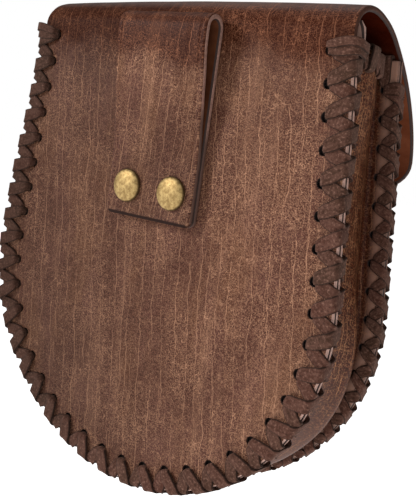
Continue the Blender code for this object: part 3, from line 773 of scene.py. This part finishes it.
class Shader:
    """A node material; numbers that don't vary go straight onto the shader's sockets."""

    def __init__(self, name, **constants):
        self.material = bpy.data.materials.new(name)
        self.material.use_nodes = True
        self.tree = self.material.node_tree
        self.shader = self.tree.nodes["Principled BSDF"]
        for key, value in constants.items():
            self.shader.inputs[key.replace("_", " ")].default_value = value

    def add(self, kind, settings=None, **links):
        made = self.tree.nodes.new("ShaderNode" + kind)
        for key, value in (settings or {}).items():
            if key in made.inputs:
                made.inputs[key].default_value = value
            else:
                setattr(made, key, value)
        for key, source in links.items():
            self.tree.links.new(source, made.inputs[key])
        return made

    def link(self, source, socket):
        self.tree.links.new(source, self.shader.inputs[socket])

    def fill(self, sockets, values):
        """Numbers and colours are set, all else is linked."""
        for socket, value in zip(sockets, values):
            if isinstance(value, (int, float)):
                socket.default_value = value
            elif isinstance(value, tuple):
                socket.default_value = (*value, 1.0)
            else:
                self.tree.links.new(value, socket)

    def math(self, operation, *values, clamp=False):
        made = self.add("Math", {"operation": operation, "use_clamp": clamp})
        self.fill(made.inputs, values)
        return made.outputs[0]

    def times(self, a, b):
        return self.math("MULTIPLY", a, b)

    def times_plus(self, value, factor, offset):
        return self.math("MULTIPLY_ADD", value, factor, offset)

    def axis(self, vector, index):
        return self.add("SeparateXYZ", Vector=vector).outputs[index]

    def mapped(self, vector, **settings):
        return self.add("Mapping", settings, Vector=vector).outputs[0]

    def scaled(self, vector, factor):
        made = self.add("VectorMath", {"operation": "SCALE"}, Vector=vector)
        self.fill([made.inputs["Scale"]], [factor])
        return made.outputs[0]

    def sheet(self):
        """The leather's own flat coordinates, in millimetres."""
        return self.scaled(self.add("UVMap", {"uv_map": "Sheet"}).outputs[0], 1000.0)

    def noise(self, vector, scale, detail=2.0, rough=0.5, stretch=(1, 1, 1), shift=(0, 0, 0)):
        """Noise whose scale is bumps per unit, stretched per axis if asked."""
        made = self.add("TexNoise", {"Scale": scale, "Detail": detail, "Roughness": rough},
                        Vector=self.mapped(vector, Scale=stretch, Location=shift))
        return made.outputs[0]

    def warp(self, vector, scale, amount, shift=(0, 0, 0)):
        """Coordinates pushed about by noise, by up to half that amount."""
        made = self.add("TexNoise", {"Scale": scale, "Detail": 2.0},
                        Vector=self.mapped(vector, Location=shift))
        centred = self.add("VectorMath", {"operation": "SUBTRACT"}, Vector=made.outputs[1])
        centred.inputs[1].default_value = (0.5, 0.5, 0.5)
        added = self.add("VectorMath", {"operation": "ADD"})
        self.fill(added.inputs, (vector, self.scaled(centred.outputs[0], amount)))
        return added.outputs[0]

    def hairs(self, vector, scale, width, shift=(0, 0, 0)):
        """1 along wandering lines, where noise passes its middle value."""
        away = self.math("ABSOLUTE", self.math("SUBTRACT", self.noise(vector, scale, shift=shift), 0.5))
        return self.span(away, 0.0, width, 1.0, 0.0)

    def lines(self, vector, per_unit, width, shift):
        """1 on thin lines at random places across the first axis."""
        place = self.times_plus(self.axis(vector, 0), per_unit, shift)
        made = self.add("TexVoronoi", {"voronoi_dimensions": "1D", "feature": "DISTANCE_TO_EDGE",
                                       "Scale": 1.0}, W=place)
        return self.span(made.outputs["Distance"], 0.0, width, 1.0, 0.0)

    def span(self, value, low, high, to_low=0.0, to_high=1.0):
        made = self.add("MapRange", {"From Min": low, "From Max": high, "To Min": to_low, "To Max": to_high,
                                     "interpolation_type": "SMOOTHSTEP"}, Value=value)
        return made.outputs[0]

    def within(self, value, low, high, soft):
        """1 from low to high, falling off softly outside."""
        return self.times(self.span(value, low - soft, low), self.span(value, high, high + soft, 1.0, 0.0))

    def mix(self, factor, a, b):
        made = self.add("Mix", {"data_type": "RGBA"})
        self.fill((made.inputs[0], made.inputs[6], made.inputs[7]), (factor, a, b))
        return made.outputs[2]

    def finish(self, colour, rough, height, strength, distance):
        """The material with that colour, roughness and relief."""
        bump = self.add("Bump", {"Strength": strength, "Distance": distance}, Height=height)
        for source, socket in ((colour, "Base Color"), (rough, "Roughness"), (bump.outputs[0], "Normal")):
            self.link(source, socket)
        return self.material


def crackled(name, bend=(), matt=0.0, crest=(), tip=(), fades=()):
    """Brown leather with long pale streaks, a fine net of cracks and a speckled grain.

    It is darker and redder in the bend, a painted shade, and less glossy there where matt is given,
    shiny at the crest and dark at the tip, partly a darker burnished edge and partly painted shade.
    Bend and crest are (from, to, softness) and the tip is (from, to) in millimetres along the sheet.
    Fades are (axis, from, to, factor at the start, factor at the end).
    """
    s = Shader(name, Specular_IOR_Level=GRAIN_GLOSS)
    at = s.sheet()
    tan, gloss = TAN, GRAIN_GLOSS

    # Long streaks of two kinds, and veins that lean across them
    bent = s.warp(s.mapped(at, Rotation=(0.0, 0.0, 0.11)), 0.022, 4.0)
    wavy_a = s.warp(s.warp(bent, 0.060, 5.0, shift=(2, 9, 6)), 0.22, 1.7, shift=(4, 4, 1))
    wavy_b = s.warp(s.warp(bent, 0.075, 6.0, shift=(8, 3, 2)), 0.30, 1.5, shift=(1, 7, 3))
    fade_a = s.span(s.noise(at, 1.0, 3.0, stretch=(0.16, 0.032, 1), shift=(3, 8, 5)), 0.34, 0.58)
    fade_b = s.span(s.noise(at, 1.0, 3.0, stretch=(0.34, 0.040, 1), shift=(6, 1, 9)), 0.42, 0.62)
    fade_c = s.span(s.noise(at, 0.070, 3.0, 0.6, shift=(7, 3, 1)), 0.42, 0.64)
    long_a = s.times(s.times(s.lines(wavy_a, 0.180, 0.042, 3.3), fade_a), 0.90)
    long_b = s.times(s.times(s.lines(wavy_b, 0.330, 0.060, 8.1), fade_b), 0.60)
    leaning = s.mapped(s.warp(at, 0.10, 3.0, shift=(9, 2, 4)), Rotation=(0.0, 0.0, -0.55))
    veins = s.times(s.hairs(leaning, 0.135, 0.013, (3, 1, 8)), s.times(fade_c, 0.50))
    streaks = s.math("MAXIMUM", s.math("MAXIMUM", long_a, long_b), veins)

    # The net of cracks, the specks of the grain and broad worn stretches
    patch = s.span(s.noise(at, 0.050, 3.0, 0.6, shift=(4, 2, 8)), 0.38, 0.64)
    broken = s.span(s.noise(at, 0.30, shift=(5, 5, 2)), 0.42, 0.58)
    curls = s.times(s.hairs(at, 0.30, 0.017), s.times(broken, s.times_plus(patch, 0.30, 0.34)))
    net = s.times(s.hairs(at, 1.05, 0.070, (7, 7, 7)), s.times_plus(patch, 0.20, 0.22))
    speck = s.span(s.noise(at, 2.2, 2.0, 0.6, shift=(1, 3, 6)), 0.50, 0.70)
    dots = s.times(speck, s.times_plus(patch, 0.24, 0.26))
    stretches = s.noise(at, 1.0, 3.0, 0.55, stretch=(0.12, 0.010, 1), shift=(8, 6, 4))
    worn = s.times(s.span(stretches, 0.48, 0.74), 0.13)
    pale = s.times_plus(streaks, 0.75, s.math("ADD", curls, net))
    pale = s.math("ADD", pale, s.math("ADD", worn, dots), clamp=True)

    # The ground that shows between them
    bands = s.span(s.noise(at, 1.0, 3.0, 0.5, stretch=(0.060, 0.014, 1), shift=(5, 2, 7)), 0.40, 0.62)
    blotch = s.span(s.noise(at, 0.035, 4.0, 0.6), 0.36, 0.66)
    mottle = s.span(s.noise(at, 1.50, 3.0, 0.65, shift=(2, 2, 9)), 0.38, 0.62)
    ground = s.mix(blotch, BROWN_DARK, s.mix(bands, BROWN_MID, OLIVE))
    ground = s.mix(s.times(mottle, 0.55), ground, darker(BROWN_DARK, 0.42))
    # Painted shade in the bend: darker, redder, fewer pale streaks and less gloss.
    if bend:
        shade = s.within(s.axis(s.warp(s.warp(at, 0.05, 22.0), 0.3, 7.0), 1), *bend)
        ground = s.mix(s.times(shade, 0.95), ground, BEND_RED)
        if matt:
            gloss = s.times_plus(shade, -matt, GRAIN_GLOSS)
        pale = s.times(pale, s.times_plus(shade, -0.12, 1.0))
        tan = s.mix(shade, TAN, BEND_TAN)
    colour = s.mix(pale, ground, tan)
    # Painted shade, partly a darker burnished edge, at the loop's tip.
    if tip:
        colour = s.mix(s.span(s.axis(at, 1), *tip), colour, (0.020, 0.007, 0.004))
    for axis, *stretch in fades:
        factor = s.span(s.axis(at, axis), *stretch)
        colour = s.scaled(colour, factor)
    if crest:
        gloss = s.times_plus(s.within(s.axis(at, 1), *crest), 0.50, gloss)
    if crest or matt:
        s.link(gloss, "Specular IOR Level")
    rough = s.times_plus(pale, 0.16, s.times_plus(speck, 0.06, 0.46))
    grain = s.times(s.noise(at, 1.15, 3.0, 0.6, shift=(5, 9, 3)), 0.50)
    return s.finish(colour, rough, s.math("SUBTRACT", grain, s.times(pale, 0.45)), 0.50, 0.00020)


def gusset_leather(name):
    """Redder leather: shinier and paler low down, the pale a painted reflection; darker in the folds, a
    painted shade; pale on the front flange, partly lighter leather and partly painted light.
    """
    s = Shader(name)
    at = s.sheet()
    # Millimetres of the sheet: where the strip starts across it, and the pouch's bottom along it
    first, bottom = (1000 * float(start) for start in GUSSET_SHEET)
    across = s.axis(at, 0)
    from_bottom = s.math("ABSOLUTE", s.math("SUBTRACT", s.axis(at, 1), bottom))
    from_middle = s.math("ABSOLUTE", s.math("SUBTRACT", across, first + 33.0))
    # Low down the ground turns grey-brown and smooth: a painted reflection of the floor, with more gloss
    # there too.
    low = s.span(from_bottom, 50.0, 140.0, 1.0, 0.0)
    # Painted shade in the folds beside the seams.
    folded = s.span(from_middle, 12.0, 24.0)
    flange = s.span(across, first + 57.0, first + 62.0)
    s.link(s.times_plus(low, 0.20, 0.10), "Specular IOR Level")
    wavy = s.warp(s.warp(at, 0.08, 4.0), 0.4, 1.2)
    fade = s.span(s.noise(at, 1.0, stretch=(0.30, 0.045, 1), shift=(6, 2, 2)), 0.42, 0.62)
    streak = s.times(s.lines(wavy, 0.42, 0.085, 2.7), fade)
    fine = s.times(s.hairs(at, 0.62, 0.050), s.span(s.noise(at, 0.25), 0.40, 0.62))
    speck = s.span(s.noise(at, 1.10, 2.0, 0.65), 0.48, 0.66)
    pale = s.times_plus(streak, 1.15, s.times_plus(speck, 0.50, s.times(fine, 0.66)))
    pale = s.times(pale, s.times_plus(low, -0.70, 1.0))
    pale = s.times(pale, s.times_plus(folded, -0.65, 1.0))
    blotch = s.span(s.noise(at, 1.0, 3.0, 0.6, stretch=(0.16, 0.035, 1)), 0.36, 0.66)
    mottle = s.span(s.noise(at, 0.85, 3.0, 0.65, shift=(2, 2, 9)), 0.40, 0.60, 0.0, 0.80)
    ground = s.mix(blotch, (0.053, 0.0083, 0.0029), (0.080, 0.0157, 0.0055))
    ground = s.mix(mottle, ground, (0.020, 0.0048, 0.0020))
    ground = s.mix(s.times(folded, 0.35), ground, (0.022, 0.0040, 0.0016))
    ground = s.mix(s.times(low, 0.85), ground, (0.112, 0.054, 0.040))
    # The front flange: partly paler leather, partly painted light where it lies in shade.
    ground = s.mix(flange, ground, (0.320, 0.175, 0.128))
    height = s.math("ADD", s.noise(at, 0.9, 3.0, 0.6), s.times(pale, 0.5))
    return s.finish(s.mix(pale, ground, (0.400, 0.180, 0.086)), s.times_plus(speck, 0.10, 0.50),
                    height, 0.40, 0.00018)


def flesh_side(name, deep_dark, deep_light):
    """The inner side: darker in the deep colours where the roll bends, a painted shade, and redder and
    lighter down the flap, a painted light.
    """
    s = Shader(name, Specular_IOR_Level=0.0)
    at = s.sheet()
    along = s.axis(at, 1)
    blotch = s.span(s.noise(at, 0.05, 4.0, 0.6), 0.35, 0.65)
    fibre = s.noise(at, 0.9, 4.0, 0.65)
    # Painted light over this stretch of the sheet; before it the deep colours are painted shade.
    painted_light_share = s.times(s.span(along, 238.0, 285.0), s.span(along, 480.0, 500.0, 1.0, 0.0))
    ground = s.mix(painted_light_share, s.mix(blotch, deep_dark, deep_light),
                   s.mix(blotch, (0.130, 0.035, 0.0150), (0.200, 0.062, 0.0290)))
    nap = s.times(s.span(fibre, 0.45, 0.75, 0.0, 0.14), s.times_plus(painted_light_share, 0.7, 0.3))
    return s.finish(s.mix(nap, ground, (0.200, 0.080, 0.040)), s.times_plus(fibre, 0.25, 0.55),
                    fibre, 0.35, 0.0002)


def cut_edge(name, colour, gloss, rough=0.36, dark_runs=()):
    """Cut and burnished edge: fibres in two tones, with dye that ran in here and there.

    Dark runs are stretches along the border, in millimetres, where it is darker: partly a darker burnished
    edge and partly painted shade.
    """
    s = Shader(name, Specular_IOR_Level=gloss)
    at = s.sheet()
    fibre = s.noise(at, 1.0, 3.0, 0.6, stretch=(0.9, 1.6, 1))
    stain = s.span(s.noise(at, 0.13, 3.0, 0.6), 0.46, 0.72, 0.0, 0.40)
    tone = s.mix(s.span(fibre, 0.38, 0.66), darker(colour, 0.62), colour)
    tone = s.mix(stain, tone, darker(colour, 0.35))
    for start, end in dark_runs:
        tone = s.mix(s.within(s.axis(at, 0), start, end, 8.0), tone, darker(colour, 0.30))
    return s.finish(tone, s.times_plus(fibre, 0.25, rough), fibre, 0.25, 0.0001)


def lace_suede(name):
    """Brushed lace, with painted shade that darkens it towards +X and along its own borders."""
    s = Shader(name, Specular_IOR_Level=0.12, Sheen_Weight=0.12, Sheen_Roughness=0.6,
               Sheen_Tint=(0.55, 0.38, 0.30, 1.0))
    at = s.sheet()
    tone, lace_painted_shade = (s.add("Attribute", {"attribute_name": key}).outputs["Fac"] for key in ("tone", "lace_painted_shade"))
    nap = s.noise(at, 1.0, 3.0, 0.7)
    smear = s.noise(at, 1.0, stretch=(0.5, 0.16, 1))
    ground = s.mix(tone, (0.047, 0.0215, 0.0125), (0.067, 0.0235, 0.0148))
    ground = s.mix(s.span(smear, 0.35, 0.65, 0.0, 0.60), ground, (0.112, 0.051, 0.036))
    ground = s.mix(s.span(nap, 0.47, 0.32, 0.0, 0.75), ground, (0.022, 0.008, 0.005))
    ground = s.mix(s.span(nap, 0.50, 0.74, 0.0, 0.75), ground, (0.245, 0.130, 0.096))
    # Painted shade towards +X.
    ground = s.mix(s.times(lace_painted_shade, 0.45), ground, (0.016, 0.007, 0.004))
    # Painted shade along each strand's borders, where strands overlap and touch.
    border = s.span(s.math("ABSOLUTE", s.axis(at, 0)), 2.10, 2.70, 0.0, 0.85)
    ground = s.mix(border, ground, (0.012, 0.005, 0.003))
    return s.finish(ground, s.times_plus(nap, 0.15, 0.82), nap, 0.6, 0.00030)


def old_brass(name):
    """Dull brass with spots of tarnish and a dark rim."""
    s = Shader(name, Metallic=1.0)
    at = s.sheet()
    cloud = s.noise(at, 0.45, 4.0, 0.65)
    spots = s.span(s.noise(at, 1.5, 3.0, 0.6, shift=(3, 1, 4)), 0.54, 0.70)
    rim = s.span(s.add("VectorMath", {"operation": "LENGTH"}, Vector=at).outputs[1], 6.2, 6.9)
    tone = s.mix(s.span(cloud, 0.35, 0.65), (0.26, 0.168, 0.066), (0.50, 0.350, 0.150))
    tone = s.mix(s.times(spots, 0.50), tone, (0.15, 0.095, 0.040))
    tone = s.mix(s.times(rim, 0.75), tone, (0.06, 0.034, 0.016))
    rough = s.times_plus(s.math("MAXIMUM", spots, rim), 0.10, 0.50)
    return s.finish(tone, rough, s.math("ADD", cloud, s.times(spots, -0.4)), 0.30, 0.0001)


def plain(name, colour, rough):
    return Shader(name, Roughness=rough, Base_Color=(*colour, 1.0)).material


# Pieces

# Millimetres of the loop's sheet: its start and tip, and where the far side's border starts
LOOP_START, LOOP_LENGTH = 1000 * float(LOOP_SHEET[1]), 1000 * float(LOOP_WALKED[-1])
LOOP_TIP = LOOP_START + LOOP_LENGTH
LOOP_FAR_SIDE = 2 * 1000 * LOOP_WIDTH + LOOP_LENGTH
# Lower stretches of the loop's edges, darker: partly burnished, partly painted shade.
LOOP_BURNISHED_AND_SHADED_RUNS = ((LOOP_FAR_SIDE - 60.0, LOOP_FAR_SIDE + 36.0),
                  (LOOP_FAR_SIDE + LOOP_LENGTH - 36.0, LOOP_FAR_SIDE + LOOP_LENGTH + 60.0))

panel_grain = crackled("panel_crackle", bend=(184.0, 205.0, 16.0), matt=0.05, crest=(203.0, 226.0, 8.0),
                       fades=((0, -62.0, 62.0, 1.17, 0.77), (1, 20.0, 120.0, 0.90, 1.0)))
front_grain = crackled("front_crackle")
loop_grain = crackled("loop_crackle", bend=(LOOP_START + 82.0, LOOP_START + 102.0, 9.0),
                      tip=(LOOP_TIP - 1.7, LOOP_TIP - 1.1),
                      fades=((1, LOOP_START + 80.0, LOOP_START + 110.0, 1.17, 1.0),
                             (1, LOOP_START + 80.0, LOOP_START + 170.0, 1.05, 0.84)))
gusset_grain = gusset_leather("gusset_grain")
# Near black: painted shade inside the roll.
flesh = flesh_side("flesh_side", (0.026, 0.0026, 0.0009), (0.048, 0.0062, 0.0022))
# Pale: painted light on the gusset's inner side, where the ear's face lies in shade.
gusset_flesh_painted_light = flesh_side("gusset_flesh_painted_light", (0.260, 0.150, 0.115), (0.360, 0.210, 0.165))
loop_flesh = flesh_side("loop_flesh", (0.060, 0.018, 0.008), (0.120, 0.040, 0.018))
edge = cut_edge("cut_edge", (0.640, 0.390, 0.315), 0.12)
# Dye on the flap's rim, and partly painted shade on the loop's tip.
rim_edge = cut_edge("dyed_and_shaded_edge", (0.088, 0.037, 0.025), 0.08, 0.45)
front_edge = cut_edge("front_cut_edge", (0.270, 0.150, 0.112), 0.10)
loop_edge = cut_edge("loop_cut_edge", (0.400, 0.225, 0.175), 0.20, dark_runs=LOOP_BURNISHED_AND_SHADED_RUNS)
# Near black for the holes' cut walls and the lace inside them: painted shade in the holes.
hole_painted_shade = plain("hole_painted_shade", (0.018, 0.008, 0.006), 0.9)
arris = plain("inner_arris", (0.030, 0.012, 0.008), 0.8)
suede = lace_suede("lace_suede")
brass = old_brass("old_brass")

back = back_panel([panel_grain, flesh, edge, rim_edge, arris])
front = front_panel([front_grain, flesh, front_edge, front_edge, arris])
side_band = gusset([gusset_grain, gusset_flesh_painted_light, edge, front_edge, arris])
loop = belt_loop([loop_grain, loop_flesh, loop_edge, rim_edge, arris])
rivets = [rivet("brass_rivet_left", -1, brass), rivet("brass_rivet_right", 1, brass)]

back_holes = [(pouch(run, HOLE_SHIFT, -HOLE_LEVEL), HOLE_RADIUS, -CUT_DEPTH, 0.0020) for run in HOLE_RUNS]
front_holes = [(pouch(run, FRONT_HOLE_SHIFT, FRONT_Y + HOLE_LEVEL), FRONT_HOLE_RADIUS,
                FRONT_Y - 0.0030, FRONT_Y + CUT_DEPTH) for run in HOLE_RUNS]
posts = [((side * RIVET_SPACING / 2, 0.0, RIVET_HEIGHT), POST_HOLE_RADIUS, -0.0040, 0.0068)
         for side in (-1, 1)]
for item, holes in ((back, back_holes + posts), (front, front_holes), (side_band, back_holes + front_holes),
                    (loop, posts)):
    cut_holes(item, holes, hole_painted_shade)
    item.modifiers.new("weighted normals", "WEIGHTED_NORMAL").weight = 80

back_lace = seam_lacing("back_seam_lace", True, 11, [suede, hole_painted_shade])
front_lace = seam_lacing("front_seam_lace", False, 23, [suede, hole_painted_shade])
top_laces = [top_lacing("left_top_lace", -1, [suede]), top_lacing("right_top_lace", 1, [suede])]

for item, slot, node in (
    (back, "panel_leather", "back_panel"), (front, "panel_leather", "front_panel"),
    (side_band, "gusset_leather", "gusset"), (loop, "panel_leather", "belt_loop"),
    (rivets[0], "antique_brass", "cap_rivet_left"), (rivets[1], "antique_brass", "cap_rivet_right"),
    (back_lace, "lace", "back_lacing"), (front_lace, "lace", "front_lacing"),
    (top_laces[0], "lace", "left_top_lacing"), (top_laces[1], "lace", "right_top_lacing"),
):
    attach(item, "root")
    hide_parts(node)

# Stage, light and camera

FLOOR_SIZE = 6.0
FLOOR_LEVEL = -0.34
FLOOR_GLOW = 0.90
AMBIENT = 0.18
WHITE = (1.0, 1.0, 1.0, 1.0)
# The photo's size, its focal length and its optical centre in pixels
PHOTO_WIDTH, PHOTO_HEIGHT = 416.0, 500.0
FOCAL_LENGTH = 767.75
CENTRE_X, CENTRE_Y = 200.02, 247.42
SENSOR = 36.0
EYE = Vector((-0.1994, 0.24865, -0.04635))
FORWARD = Vector((0.5584, -0.8182, -0.1368)).normalized()
RIGHT = FORWARD.cross(Vector((0.1931, -0.0322, 0.9807))).normalized()
UP = RIGHT.cross(FORWARD)
POUCH_MIDDLE = Vector((0.0, -0.030, -0.095))


def floor():
    mesh = bpy.data.meshes.new("floor")
    corners = [(x * FLOOR_SIZE, y * FLOOR_SIZE, FLOOR_LEVEL)
               for x, y in ((-1, -1), (1, -1), (1, 1), (-1, 1))]
    mesh.from_pydata(corners, [], [(0, 1, 2, 3)])
    paint = Shader("floor_paint", Roughness=0.9, Base_Color=(0.80, 0.80, 0.80, 1.0), Emission_Color=WHITE,
                   Emission_Strength=FLOOR_GLOW)
    mesh.materials.append(paint.material)
    item = scene_object("floor", mesh)


def camera():
    data = bpy.data.cameras.new("camera")
    data.sensor_width = SENSOR
    data.lens = FOCAL_LENGTH * SENSOR / PHOTO_HEIGHT
    data.shift_x = (PHOTO_WIDTH / 2 - CENTRE_X) / PHOTO_HEIGHT
    data.shift_y = (CENTRE_Y - PHOTO_HEIGHT / 2) / PHOTO_HEIGHT
    data.clip_start = 0.01
    item = scene_object("camera", data)
    item.matrix_world = Matrix.Translation(EYE) @ Matrix((RIGHT, UP, -FORWARD)).transposed().to_4x4()
    bpy.context.scene.camera = item


def soft_light(name, right, up, back, size, power):
    """A square area light placed from the pouch's middle by the camera's own directions."""
    data = bpy.data.lights.new(name, "AREA")
    data.shape = "SQUARE"
    data.size = size
    data.energy = power
    item = scene_object(name, data)
    item.location = POUCH_MIDDLE + RIGHT * right + UP * up - FORWARD * back
    item.rotation_mode = "QUATERNION"
    item.rotation_quaternion = (POUCH_MIDDLE - item.location).to_track_quat("-Z", "Y")


def sky():
    """White to the camera and a weak light to everything else."""
    world = bpy.data.worlds.new("sky")
    world.use_nodes = True
    tree = world.node_tree
    seen = tree.nodes["Background"]
    lit = tree.nodes.new("ShaderNodeBackground")
    for background in (seen, lit):
        background.inputs["Color"].default_value = WHITE
    lit.inputs["Strength"].default_value = AMBIENT
    by_ray = tree.nodes.new("ShaderNodeLightPath")
    either = tree.nodes.new("ShaderNodeMixShader")
    sources = (by_ray.outputs["Is Camera Ray"], lit.outputs[0], seen.outputs[0])
    for source, socket in zip(sources, either.inputs):
        tree.links.new(source, socket)
    tree.links.new(either.outputs[0], tree.nodes["World Output"].inputs["Surface"])
    bpy.context.scene.world = world


floor()
camera()
sky()
soft_light("key", -0.95, 0.48, 0.38, 0.24, 7.0)
soft_light("fill", 0.10, 0.15, 1.00, 0.50, 1.5)
soft_light("top", -0.10, 1.05, 0.10, 0.45, 4.0)
soft_light("bounce", 0.60, -0.90, 0.30, 0.60, 2.0)
bpy.context.scene.view_settings.view_transform = "Standard"
